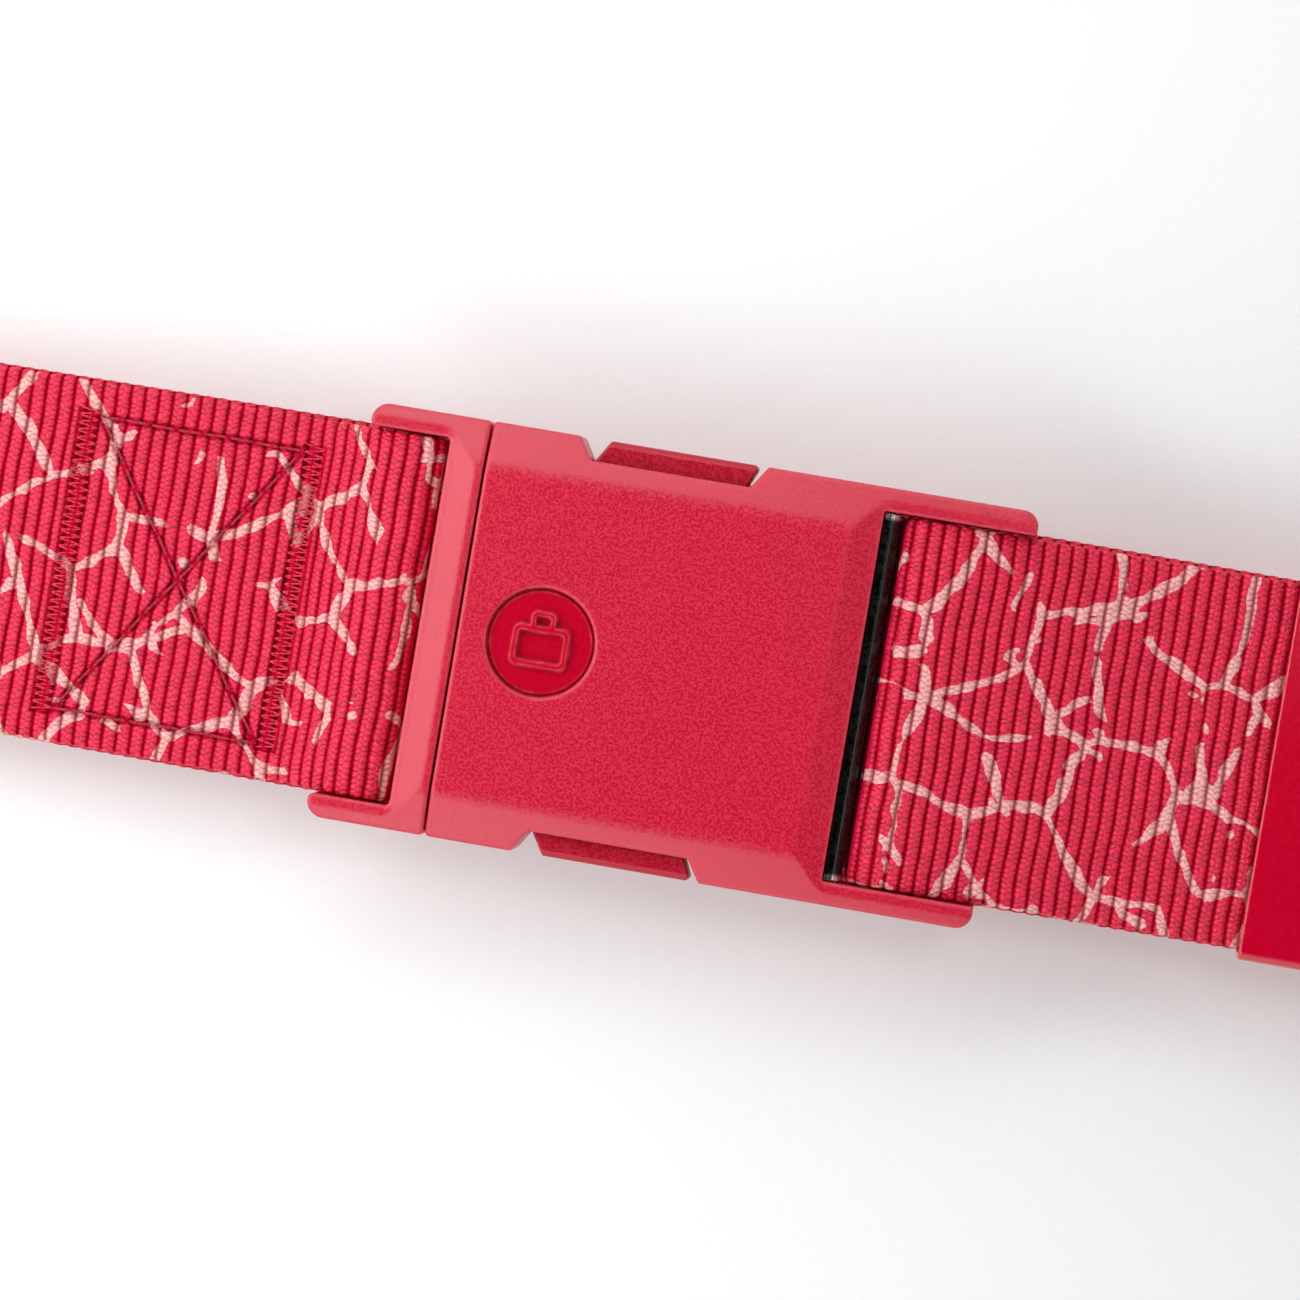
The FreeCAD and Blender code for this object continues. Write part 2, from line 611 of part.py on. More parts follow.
def stitch_levels():
    """Lowest and highest Z of sewing that goes through both layers."""
    return UNDER_Z - HALF - THREAD_PROUD, SEWN_Z + HALF + THREAD_PROUD


def thread_line(start, end):
    """One straight row of stitches through both layers."""
    low, high = stitch_levels()
    way = Vector(end[0] - start[0], end[1] - start[1], 0)
    row = box((0, -THREAD_WIDTH / 2, low), (way.Length, THREAD_WIDTH / 2, high))
    row.rotate(Vector(0, 0, 0), Vector(0, 0, 1), math.degrees(math.atan2(way.y, way.x)))
    return row.translated(Vector(start[0], start[1], 0))


def make_stitches():
    """The sewn box, its diagonals and the bar tack at each end of it."""
    low, high = stitch_levels()
    inner_left, inner_right = BOX_LEFT + TACK_LENGTH, BOX_RIGHT - TACK_LENGTH
    tack_y = BOX_HALF_WIDTH + THREAD_WIDTH
    rows = [
        thread_line((inner_left, y), (inner_right, y)) for y in (BOX_HALF_WIDTH, -BOX_HALF_WIDTH)
    ]
    cross_y = BOX_HALF_WIDTH - 2 * THREAD_WIDTH
    cross_left, cross_right = inner_left + THREAD_WIDTH, inner_right - THREAD_WIDTH
    diagonals = [
        thread_line((cross_left, -cross_y), (cross_right, cross_y)),
        thread_line((cross_left, cross_y), (cross_right, -cross_y)),
    ]
    return {
        "box_stitch": rows[0].fuse(rows[1]),
        "cross_stitch": diagonals[0].fuse(diagonals[1]).removeSplitter(),
        "bar_tack_outer": box((BOX_LEFT, -tack_y, low), (inner_left, tack_y, high)),
        "bar_tack_inner": box((inner_right, -tack_y, low), (BOX_RIGHT, tack_y, high)),
    }


def main():
    """Writes every piece to its own file."""
    arm = raised(make_latch_arm())
    pieces = {
        "buckle_body": raised(make_buckle_body()),
        "badge": raised(make_badge()),
        "plug_frame": raised(make_plug_frame()),
        "latch_arm_back": arm,
        "latch_arm_front": mirrored(arm),
        "lock_bar": raised(make_lock_bar()),
        "keeper": make_keeper(),
        "webbing_sewn_end": make_webbing_sewn_end(),
        "webbing_folds": make_webbing_folds(),
        "webbing_tail": make_webbing_tail(),
        **make_stitches(),
    }
    os.makedirs("parts", exist_ok=True)
    for name, shape in pieces.items():
        shape.exportStep(f"parts/{name}.step")


main()
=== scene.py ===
import math

import bpy
import numpy as np
from mathutils import Matrix, Vector


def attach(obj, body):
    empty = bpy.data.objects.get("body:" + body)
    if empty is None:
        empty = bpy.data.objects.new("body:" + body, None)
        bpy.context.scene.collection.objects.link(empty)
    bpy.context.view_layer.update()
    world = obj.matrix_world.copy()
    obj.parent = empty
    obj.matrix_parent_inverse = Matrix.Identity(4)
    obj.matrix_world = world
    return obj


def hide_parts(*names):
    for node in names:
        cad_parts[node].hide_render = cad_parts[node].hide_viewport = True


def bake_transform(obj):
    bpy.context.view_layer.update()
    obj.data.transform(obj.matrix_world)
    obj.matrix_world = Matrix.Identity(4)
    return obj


# The looks of a luggage strap: ribbed webbing printed with a crackle pattern, a side-release buckle
# in fine-grained plastic, a steel lock bar and a glossy keeper. Sizes are in metres.

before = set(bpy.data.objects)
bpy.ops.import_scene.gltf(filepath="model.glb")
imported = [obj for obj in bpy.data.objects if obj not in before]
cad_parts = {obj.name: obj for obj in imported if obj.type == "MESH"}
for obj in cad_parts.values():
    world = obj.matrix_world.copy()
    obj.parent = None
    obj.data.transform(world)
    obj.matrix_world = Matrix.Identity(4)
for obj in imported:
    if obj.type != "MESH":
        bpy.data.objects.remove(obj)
bpy.ops.object.select_all(action="DESELECT")
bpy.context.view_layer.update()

# ---------------------------------------------------------------- sizes

MM = 0.001
WIDTH = 50.0 * MM  # webbing
THICKNESS = 1.8 * MM
HALF = THICKNESS / 2
EDGE_Y = WIDTH / 2
EDGE_ROUND = 0.9 * MM
EDGE_THINNING = 0.85  # 1 would bring both faces together at the edge
RIB_PITCH = 1.95 * MM
RIB_DEPTH = 0.5 * MM
RIB_FULLNESS = 0.7  # power of a rib's sine, and below 1 its crest is broad
SCALLOP = 0.22 * MM  # how far the edge draws in between two ribs
BEAD_PITCH = 0.78 * MM
WANDER = 0.09 * MM  # how far a rib strays from straight
WANDER_REACH = 1.9 * MM  # a radian of the waves in which it strays
WANDER_MARGIN = 3 * MM  # where it straightens, beside an edge
DRIFT = 0.9 * MM  # how far the stored layers lie out of line
DRIFT_PERIOD = 0.6  # along the webbing
DRIFT_EASE = 0.1

LAYER_STEP = 2.1 * MM
LAYERS = [HALF + LAYER_STEP * n for n in range(5)]  # stored layers, lowest first
OUTER_BEND = 2.5 * LAYER_STEP
MIDDLE_BEND = 1.5 * LAYER_STEP
INNER_BEND = 0.5 * LAYER_STEP
TOP_RUN = 11.4 * MM
LEFT_END = -151.1 * MM
RIGHT_END = 151.1 * MM
BAR_Z = 16.25 * MM  # height of both crossbars
WRAP = 3.05 * MM  # from a crossbar's centre to the middle of the webbing around it
PLUG_BAR_X = -38.875 * MM
SLOPE_X = PLUG_BAR_X - 3.0 * MM  # where the slopes from the sewn box meet the crossbar's wrap
ADJUSTER_X = 31.775 * MM
ADJUSTER_WRAP_X = 28.525 * MM
UNDER_Z = 11.4 * MM
SEWN_Z = 13.4 * MM
TAIL_Z = 12.8 * MM
KEPT_Z = 14.8 * MM
BOX_LEFT = -86.575 * MM  # sewn box, over its bar tacks
BOX_RIGHT = -51.775 * MM
BOX_HALF = 20.3 * MM
TACK = 3.0 * MM
CROSS_MARGIN = 0.7 * MM  # from the sewn rows to the ends of the diagonals
SEWN_BEND = 9.0 * MM
TAIL_LENGTH = 262.5 * MM
LEFT_TANGENT = LEFT_END + OUTER_BEND
RIGHT_TANGENT = RIGHT_END - MIDDLE_BEND

# ---------------------------------------------------------------- small helpers


def points_of(obj):
    """The vertices of a mesh object as an array of points."""
    points = np.empty(len(obj.data.vertices) * 3)
    obj.data.vertices.foreach_get("co", points)
    return points.reshape(-1, 3)


def move_points(obj, points):
    """Puts the vertices of a mesh object at these points."""
    obj.data.vertices.foreach_set("co", points.ravel())
    obj.data.update()


def finished(obj, kind, **settings):
    """Adds a modifier, sets it and applies it."""
    made = obj.modifiers.new(kind.lower(), kind)
    for name, value in settings.items():
        setattr(made, name, value)
    bpy.context.view_layer.objects.active = obj
    bpy.ops.object.modifier_apply(modifier=made.name)


def named(name):
    """The object that an operator has just made, with a name for it and its mesh."""
    obj = bpy.context.object
    obj.name = name
    obj.data.name = name
    return obj


def baked_place(obj):
    """Moves an object's place and turn into its mesh."""
    bpy.ops.object.select_all(action="DESELECT")
    obj.select_set(True)
    bpy.context.view_layer.objects.active = obj
    bpy.ops.object.transform_apply(location=True, rotation=True, scale=True)


def joined(objects):
    """The first of these objects, with the others joined to it."""
    bpy.ops.object.select_all(action="DESELECT")
    for obj in objects:
        obj.select_set(True)
    bpy.context.view_layer.objects.active = objects[0]
    if len(objects) > 1:
        bpy.ops.object.join()
    return objects[0]


def face_outwards():
    """Recalculates the normals of the active object."""
    bpy.ops.object.mode_set(mode="EDIT")
    bpy.ops.mesh.select_all(action="SELECT")
    bpy.ops.mesh.normals_make_consistent(inside=False)
    bpy.ops.object.mode_set(mode="OBJECT")


def smoothstep(low, high, value):
    """0 below low, 1 above high and a smooth rise between."""
    t = np.clip((value - low) / (high - low), 0, 1)
    return t * t * (3 - 2 * t)


# ---------------------------------------------------------------- the webbing's route


def strap_route():
    """Corners (x, z, radius) of the webbing's centre line, from its sewn end to its free tail."""
    lowest, second, third, fourth, highest = LAYERS
    plug_wrap = PLUG_BAR_X + WRAP
    inner_left = LEFT_END + 2 * LAYER_STEP
    middle_left = LEFT_END + LAYER_STEP
    inner_right = RIGHT_END - LAYER_STEP
    folded_back = BOX_LEFT - 5.4 * MM
    step_down = BOX_LEFT - 7.4 * MM
    step_length = 20 * MM
    adjuster_slope = ADJUSTER_X + 3.2 * MM
    rise = 62.775 * MM
    tail_end = RIGHT_END - 20.75 * MM
    kept_bend = 2.75 * MM
    tight, tighter, slack, easy, long = 6 * MM, 5 * MM, 12 * MM, 20 * MM, 40 * MM
    return [
        (folded_back, UNDER_Z, 0),
        (BOX_RIGHT, UNDER_Z, slack),
        (SLOPE_X, BAR_Z - WRAP, tight),
        (plug_wrap, BAR_Z - WRAP, WRAP),
        (plug_wrap, BAR_Z + WRAP, WRAP),
        (SLOPE_X, BAR_Z + WRAP, tighter),
        (BOX_RIGHT, SEWN_Z, SEWN_BEND),
        (step_down, SEWN_Z, easy),
        (step_down - step_length, TOP_RUN, easy),
        (LEFT_END, TOP_RUN, OUTER_BEND),
        (LEFT_END, lowest, OUTER_BEND),
        (RIGHT_END, lowest, MIDDLE_BEND),
        (RIGHT_END, fourth, MIDDLE_BEND),
        (inner_left, fourth, INNER_BEND),
        (inner_left, third, INNER_BEND),
        (inner_right, third, INNER_BEND),
        (inner_right, second, INNER_BEND),
        (middle_left, second, MIDDLE_BEND),
        (middle_left, highest, MIDDLE_BEND),
        (RIGHT_END, highest, kept_bend),
        (RIGHT_END, KEPT_Z, kept_bend),
        (rise, KEPT_Z, long),
        (adjuster_slope, BAR_Z + WRAP, slack),
        (ADJUSTER_WRAP_X, BAR_Z + WRAP, WRAP),
        (ADJUSTER_WRAP_X, BAR_Z - WRAP, WRAP),
        (adjuster_slope, BAR_Z - WRAP, slack),
        (rise, TAIL_Z, long),
        (tail_end, TAIL_Z, 0),
    ]


def runs_and_arcs(corners):
    """The route as (length, start, direction, signed curvature) stretches."""
    stretches = []
    here = Vector(corners[0][:2])
    for before, corner, after in zip(corners, corners[1:], corners[2:] + [None]):
        way = (Vector(corner[:2]) - Vector(before[:2])).normalized()
        if after is None:
            stretches.append(((Vector(corner[:2]) - here).length, here, way, 0.0))
            break
        onward = (Vector(after[:2]) - Vector(corner[:2])).normalized()
        turn = math.atan2(way.x * onward.y - way.y * onward.x, way.dot(onward))
        reach = corner[2] * math.tan(abs(turn) / 2)
        start = Vector(corner[:2]) - way * reach
        stretches.append(((start - here).length, here, way, 0.0))
        stretches.append((corner[2] * abs(turn), start, way, math.copysign(1 / corner[2], turn)))
        here = Vector(corner[:2]) + onward * reach
    return stretches


ROUTE = runs_and_arcs(strap_route())
ROUTE_STARTS = np.cumsum([0.0] + [stretch[0] for stretch in ROUTE])
ROUTE_LENGTH = ROUTE_STARTS[-1]
ROUTE_SAMPLES = 40001


def along_route(distance, offset):
    """X and Z of points at a distance along the centre line and an offset to its left."""
    x, z = np.empty_like(distance), np.empty_like(distance)
    index = np.clip(np.searchsorted(ROUTE_STARTS, distance, side="right") - 1, 0, len(ROUTE) - 1)
    for number, (_, start, way, bend) in enumerate(ROUTE):
        here = index == number
        run = distance[here] - ROUTE_STARTS[number]
        side = offset[here]
        if bend == 0.0:
            x[here] = start.x + way.x * run - way.y * side
            z[here] = start.y + way.y * run + way.x * side
        else:
            centre = start + Vector((-way.y, way.x)) / bend
            angle = math.atan2(way.y, way.x) + bend * run
            x[here] = centre.x + (1 / bend - side) * np.sin(angle)
            z[here] = centre.y - (1 / bend - side) * np.cos(angle)
    return x, z


def route_distance(x, crossing):
    """Distance along the route at which it crosses a given x, counting the crossings from 0."""
    samples = np.linspace(0, ROUTE_LENGTH, ROUTE_SAMPLES)
    track = along_route(samples, np.zeros_like(samples))[0] - x
    crossings = np.nonzero(track[:-1] * track[1:] <= 0)[0]
    return float(samples[crossings[crossing]])


STORED_FROM = route_distance(LEFT_TANGENT, 1)
STORED_TO = ROUTE_LENGTH - TAIL_LENGTH

# ---------------------------------------------------------------- webbing


def rib_height(distance):
    """0 in the valley between two ribs, 1 on a rib's crest."""
    phase = np.mod(distance / RIB_PITCH, 1.0)
    return np.abs(np.sin(math.pi * phase)) ** RIB_FULLNESS


def webbing(name, start, end, stations, rows):
    """Ribbed webbing between two distances along the route, with its flat place as an attribute."""
    length = end - start
    ribs = round(length / RIB_PITCH)
    bpy.ops.mesh.primitive_grid_add(x_subdivisions=ribs * stations, y_subdivisions=rows, size=1)
    strip = named(name)
    finished(strip, "SOLIDIFY", thickness=1.0, offset=0.0)
    points = points_of(strip)
    distance = start + (points[:, 0] + 0.5) * length
    across = EDGE_Y * np.sin(points[:, 1] * math.pi)
    height = rib_height(distance)
    past_edge = np.clip((np.abs(across) - (EDGE_Y - EDGE_ROUND)) / EDGE_ROUND, 0, 1)
    thick = (HALF - RIB_DEPTH * (1 - height)) * np.sqrt(1 - EDGE_THINNING * past_edge ** 2)
    offset = np.sign(points[:, 2]) * thick
    across = across - np.sign(across) * past_edge * SCALLOP * (1 - height)
    flat = np.stack([distance, across, offset], axis=1)
    inside = np.clip((EDGE_Y - np.abs(across)) / WANDER_MARGIN, 0, 1)
    quick = np.sin(across / WANDER_REACH + distance / (3 * WANDER_REACH))
    slow = np.sin(across / (2.6 * WANDER_REACH))
    x, z = along_route(distance + inside * WANDER * (quick + slow), offset)
    from_start, to_end = distance - STORED_FROM, STORED_TO - distance
    stored = smoothstep(0, DRIFT_EASE, from_start) * smoothstep(0, DRIFT_EASE, to_end)
    drift = DRIFT * stored * np.sin(2 * math.pi * from_start / DRIFT_PERIOD)
    move_points(strip, np.stack([x, across + drift, z], axis=1))
    strip.data.attributes.new("flat", "FLOAT_VECTOR", "POINT").data.foreach_set("vector", flat.ravel())
    face_outwards()
    bpy.ops.object.shade_smooth()
    return strip


# ---------------------------------------------------------------- sewing

STITCH = 3.4 * MM
STITCH_LAP = 1.03  # a stitch's length in pitches
THREAD_RADIUS = 0.21 * MM
THREAD_FLATTENING = 0.85  # height of a pulled thread over its width
THREAD_SINK = 0.12 * MM  # a thread's centre line below the webbing's face
ROW_WOBBLE = 0.07 * MM
ROW_WOBBLE_REACH = 2.3 * MM
DIAGONAL_INSET = 0.7 * MM  # from a bar tack to the ends of the diagonals
TACK_RADIUS = 0.14 * MM
TACK_PITCH = 0.54 * MM
TACK_LEAN = 0.45
TACK_PAST_ROWS = 0.5 * MM
TACK_WOBBLE = 0.14 * MM
TACK_WOBBLE_REACH = 1.1 * MM


def webbing_top(x):
    """Height of the upper sewn layer's top face."""
    climb = math.atan2(BAR_Z + WRAP - SEWN_Z, SLOPE_X - BOX_RIGHT)
    run = np.clip(x - BOX_RIGHT + SEWN_BEND * math.tan(climb / 2), 0, None)
    radius = SEWN_BEND - HALF
    return SEWN_Z + HALF + radius - np.sqrt(radius ** 2 - run ** 2)


def stitch(name, length, radius, dive):
    """One stitch along X: a thread that rises out of the webbing, lies on it and dives back in."""
    bpy.ops.mesh.primitive_uv_sphere_add(
        segments=10, ring_count=10, radius=1, rotation=(0, math.pi / 2, 0),
    )
    made = named(name)
    baked_place(made)
    points = points_of(made)
    along = np.clip(points[:, 0], -1, 1)
    nearly_none, nearly_one = 1e-9, 0.9999
    round_end = np.sqrt(np.clip(1 - along ** 2, nearly_none, None))
    blunt_end = np.sqrt(np.clip(1 - along ** 8, 0, None))
    full = np.where(np.abs(along) > nearly_one, 0, blunt_end / round_end)
    move_points(made, np.stack([
        along * length / 2,
        points[:, 1] * full * radius,
        points[:, 2] * full * radius * THREAD_FLATTENING - dive * along ** 6,
    ], axis=1))
    bpy.ops.object.shade_smooth()
    return made


def repeated(obj, count, step):
    """Applies an array of equal steps."""
    finished(
        obj, "ARRAY", count=count, use_relative_offset=False,
        use_constant_offset=True, constant_offset_displace=step,
    )


def stitch_row(name, start, end):
    """Lockstitches from one (x, y) to another, on the flat."""
    way = Vector(end) - Vector(start)
    count = round(way.length / STITCH)
    pitch = way.length / count
    row = stitch(name, pitch * STITCH_LAP, THREAD_RADIUS, THREAD_RADIUS * 1.1)
    repeated(row, count, (pitch, 0, 0))
    points = points_of(row)
    points[:, 0] += pitch / 2
    points[:, 1] += ROW_WOBBLE * np.sin(points[:, 0] / ROW_WOBBLE_REACH)
    turned = Matrix.Rotation(math.atan2(way.y, way.x), 3, "Z")
    move_points(row, points @ np.array(turned).T + np.array([start[0], start[1], 0]))
    return row


def tack_row(name, left, right):
    """A dense zigzag between two x, across the sewn box."""
    half = BOX_HALF + TACK_PAST_ROWS
    count = round(half / TACK_PITCH)
    rows = []
    for number, lean in enumerate((TACK_LEAN, -TACK_LEAN)):
        row = stitch(f"{name}_{number}" if number else name, right - left, TACK_RADIUS, TACK_RADIUS)
        points = points_of(row)
        points[:, 1] += lean * TACK_PITCH * points[:, 0] / (right - left) * 2 + number * TACK_PITCH
        move_points(row, points)
        repeated(row, count, (0, 2 * TACK_PITCH, 0))
        rows.append(row)
    zigzag = joined(rows)
    points = points_of(zigzag)
    points[:, 0] += (left + right) / 2 + TACK_WOBBLE * np.sin(points[:, 1] / TACK_WOBBLE_REACH)
    points[:, 1] += TACK_PITCH / 2 - half
    move_points(zigzag, points)
    return zigzag


def sewn_through(flat_rows):
    """Lays rows of stitches on the upper layer's top face, and their mirror image underneath."""
    top = joined(flat_rows)
    under = top.copy()
    under.data = top.data.copy()
    bpy.context.collection.objects.link(under)
    points = points_of(top)
    points[:, 2] += webbing_top(points[:, 0]) - THREAD_SINK
    move_points(top, points)
    points = points_of(under)
    lift = webbing_top(points[:, 0]) - SEWN_Z - HALF
    points[:, 2] = UNDER_Z - HALF + THREAD_SINK - points[:, 2] + lift
    move_points(under, points)
    both = joined([top, under])
    face_outwards()
    return both


# ---------------------------------------------------------------- node helpers


def feed(tree, socket, value):
    """Links a node's input to another socket, or sets its value."""
    if isinstance(value, bpy.types.NodeSocket):
        tree.links.new(value, socket)
    else:
        socket.default_value = value


def add(tree, kind, inputs=None, **settings):
    """A shader node with its settings, values and links."""
    made = tree.nodes.new(kind)
    for name, value in settings.items():
        setattr(made, name, value)
    for name, value in (inputs or {}).items():
        feed(tree, made.inputs[name], value)
    return made


def maths(tree, operation, first, second=0.0, third=0.0):
    """The result of a Math node."""
    made = add(tree, "ShaderNodeMath", {0: first, 1: second, 2: third}, operation=operation)
    return made.outputs[0]


def ramp(tree, value, low, high, to_low=0.0, to_high=1.0):
    """A value carried smoothly from one range to another."""
    made = add(tree, "ShaderNodeMapRange", {
        "Value": value, "From Min": low, "From Max": high, "To Min": to_low, "To Max": to_high,
    }, interpolation_type="SMOOTHSTEP")
    return made.outputs[0]


def noise(tree, vector, scale, detail=2.0, roughness=0.5):
    """The value of a Noise Texture."""
    made = add(tree, "ShaderNodeTexNoise", {
        "Vector": vector, "Scale": scale, "Detail": detail, "Roughness": roughness,
    })
    return made.outputs[0]


def blended(tree, factor, first, second, kind="MIX"):
    """Two colours mixed by a factor."""
    made = add(tree, "ShaderNodeMix", data_type="RGBA", blend_type=kind)
    for name, value in (("Factor", factor), ("A", first), ("B", second)):
        feed(tree, next(s for s in made.inputs if s.name == name and s.enabled), value)
    return next(s for s in made.outputs if s.enabled)


def colour(red, green, blue):
    """A linear colour from its 0 to 255 display values."""
    def linear(level):
        share = level / 255
        return share / 12.92 if share <= 0.04045 else ((share + 0.055) / 1.055) ** 2.4
    return linear(red), linear(green), linear(blue), 1.0


def new_group(name, inputs, outputs):
    """A shader node group with its named sockets, its input node and its output node."""
    tree = bpy.data.node_groups.new(name, "ShaderNodeTree")
    for label, kind, value in inputs:
        socket = tree.interface.new_socket(label, in_out="INPUT", socket_type=kind)
        if value is not None:
            socket.default_value = value
    for label, kind in outputs:
        tree.interface.new_socket(label, in_out="OUTPUT", socket_type=kind)
    return tree, tree.nodes.new("NodeGroupInput"), tree.nodes.new("NodeGroupOutput")


def placed(tree, group, inputs):
    """A node group placed in a material."""
    return add(tree, "ShaderNodeGroup", inputs, node_tree=group)


def new_material(name, **constants):
    """A material and its Principled BSDF, with the constants set on the shader's own sockets."""
    made = bpy.data.materials.new(name)
    made.use_nodes = True
    shader = made.node_tree.nodes["Principled BSDF"]
    for label, value in constants.items():
        shader.inputs[label.replace("_", " ").title().replace("Ior", "IOR")].default_value = value
    return made, made.node_tree, shader


FLOAT, VECTOR = "NodeSocketFloat", "NodeSocketVector"


# ---------------------------------------------------------------- shared effects

CRACKLE_CELL = 11.8 * MM
CRACKLE_LINE = 0.66 * MM
CRACKLE_SOFTNESS = (-0.02 * MM, 0.10 * MM)
CRACKLE_LAYERS = (  # share of the cell, offset, and the noise at which its lines start and are full
    (1.0, 0.0, 0.40, 0.43),
    (1.35, 0.37, 0.57, 0.60),
)
GROOVE_REACH = 0.8 * MM
PLASTIC_GRAIN = 0.28 * MM
WEAR_AND_HIGHLIGHT_RADIUS = 0.6 * MM


def weave_group():
    """Ribs of two bead columns each, as in heavy woven polyester. The colour mix it puts out is lighter
    on the bead crests and darker in their gaps, a painted highlight and shade, with random mottle.
    """
    tree, given, put = new_group(
        "rib_weave",
        [("Flat", VECTOR, None), ("Rib Pitch", FLOAT, RIB_PITCH), ("Bead Pitch", FLOAT, BEAD_PITCH)],
        [("Valley", FLOAT), ("Height", FLOAT), ("Bead Shade And Mottle", FLOAT)],
    )
    flat = given.outputs["Flat"]
    parts = add(tree, "ShaderNodeSeparateXYZ", {0: flat})
    ribs = maths(tree, "DIVIDE", parts.outputs[0], given.outputs["Rib Pitch"])
    from_crest = maths(tree, "MULTIPLY", maths(tree, "ABSOLUTE", maths(
        tree, "SUBTRACT", maths(tree, "FRACT", ribs), 0.5)), 2.0)
    wander = noise(tree, flat, scale=560.0, detail=3.0, roughness=0.65)
    ragged = maths(tree, "MULTIPLY_ADD", maths(tree, "SUBTRACT", wander, 0.5), 0.25, from_crest)
    valley = ramp(tree, ragged, low=0.50, high=1.02)
    columns = maths(tree, "MULTIPLY", ribs, 2.0)
    beads = maths(tree, "DIVIDE", parts.outputs[1], given.outputs["Bead Pitch"])
    shifted = maths(tree, "MULTIPLY_ADD", maths(tree, "FLOOR", columns), 0.5, beads)
    wandering = maths(tree, "MULTIPLY_ADD", wander, 2.2, shifted)
    wave = maths(tree, "ABSOLUTE", maths(tree, "SINE", maths(tree, "MULTIPLY", wandering, math.pi)))
    strand = maths(tree, "ABSOLUTE", maths(tree, "SINE", maths(tree, "MULTIPLY", columns, math.pi)))
    stretched = add(tree, "ShaderNodeVectorMath", {0: flat, 1: (0.4, 1.0, 1.0)}, operation="MULTIPLY")
    fibres = noise(tree, stretched.outputs[0], scale=7000.0, detail=2.0, roughness=0.6)
    height = maths(tree, "MULTIPLY_ADD", wave, 0.55, maths(
        tree, "MULTIPLY_ADD", strand, 0.25, maths(tree, "MULTIPLY", fibres, 0.35)))
    mottle = noise(tree, flat, scale=900.0, detail=3.0, roughness=0.7)
    patches = ramp(tree, mottle, low=0.3, high=0.7)
    # Painted highlight and shade: lighter on the bead crests, darker in the gaps between them, plus
    # random mottle.
    tone = maths(tree, "MULTIPLY_ADD", wave, 0.65, maths(tree, "MULTIPLY", patches, 0.4))
    for name, value in (("Valley", valley), ("Height", height), ("Bead Shade And Mottle", tone)):
        tree.links.new(value, put.inputs[name])
    return tree


def warped(tree, vector, scale, amount):
    """A vector pushed about by noise."""
    texture = add(tree, "ShaderNodeTexNoise", {"Vector": vector, "Scale": scale, "Detail": 1.0})
    centred = add(tree, "ShaderNodeVectorMath", {
        0: texture.outputs["Color"], 1: (0.5, 0.5, 0.5)}, operation="SUBTRACT")
    push = add(tree, "ShaderNodeVectorMath", {0: centred.outputs[0], "Scale": amount}, operation="SCALE")
    return add(tree, "ShaderNodeVectorMath", {0: vector, 1: push.outputs[0]}, operation="ADD").outputs[0]


def crackle_group():
    """A broken network of lines with blunt ends, like cracked glaze."""
    tree, given, put = new_group(
        "crackle_print",
        [("Flat", VECTOR, None), ("Cell", FLOAT, CRACKLE_CELL), ("Line", FLOAT, CRACKLE_LINE)],
        [("Mask", FLOAT)],
    )
    plan = add(tree, "ShaderNodeVectorMath", {
        0: given.outputs["Flat"], 1: (1.0, 1.0, 0.0)}, operation="MULTIPLY").outputs[0]
    uneven = noise(tree, plan, scale=260.0, detail=1.0)
    swell = ramp(tree, uneven, low=0.3, high=0.7, to_low=0.7, to_high=1.45)
    masks = []
    for cell_share, offset, low, high in CRACKLE_LAYERS:
        moved = add(tree, "ShaderNodeVectorMath", {0: plan, 1: (offset, offset, 0.0)}, operation="ADD")
        swung = warped(tree, moved.outputs[0], scale=55.0, amount=6.0 * MM)
        bent = warped(tree, swung, scale=330.0, amount=1.1 * MM)
        cell = maths(tree, "MULTIPLY", given.outputs["Cell"], cell_share)
        edges = add(tree, "ShaderNodeTexVoronoi", {
            "Vector": bent, "Scale": maths(tree, "DIVIDE", 1.0, cell), "Randomness": 1.0},
            feature="DISTANCE_TO_EDGE", voronoi_dimensions="2D")
        distance = maths(tree, "MULTIPLY", edges.outputs["Distance"], cell)
        shown = ramp(tree, noise(tree, moved.outputs[0], scale=120.0, detail=1.0), low, high)
        width = maths(tree, "MULTIPLY", maths(tree, "MULTIPLY", shown, swell), given.outputs["Line"])
        masks.append(ramp(tree, maths(tree, "SUBTRACT", width, distance), *CRACKLE_SOFTNESS))
    tree.links.new(maths(tree, "MAXIMUM", masks[0], masks[1]), put.inputs["Mask"])
    return tree


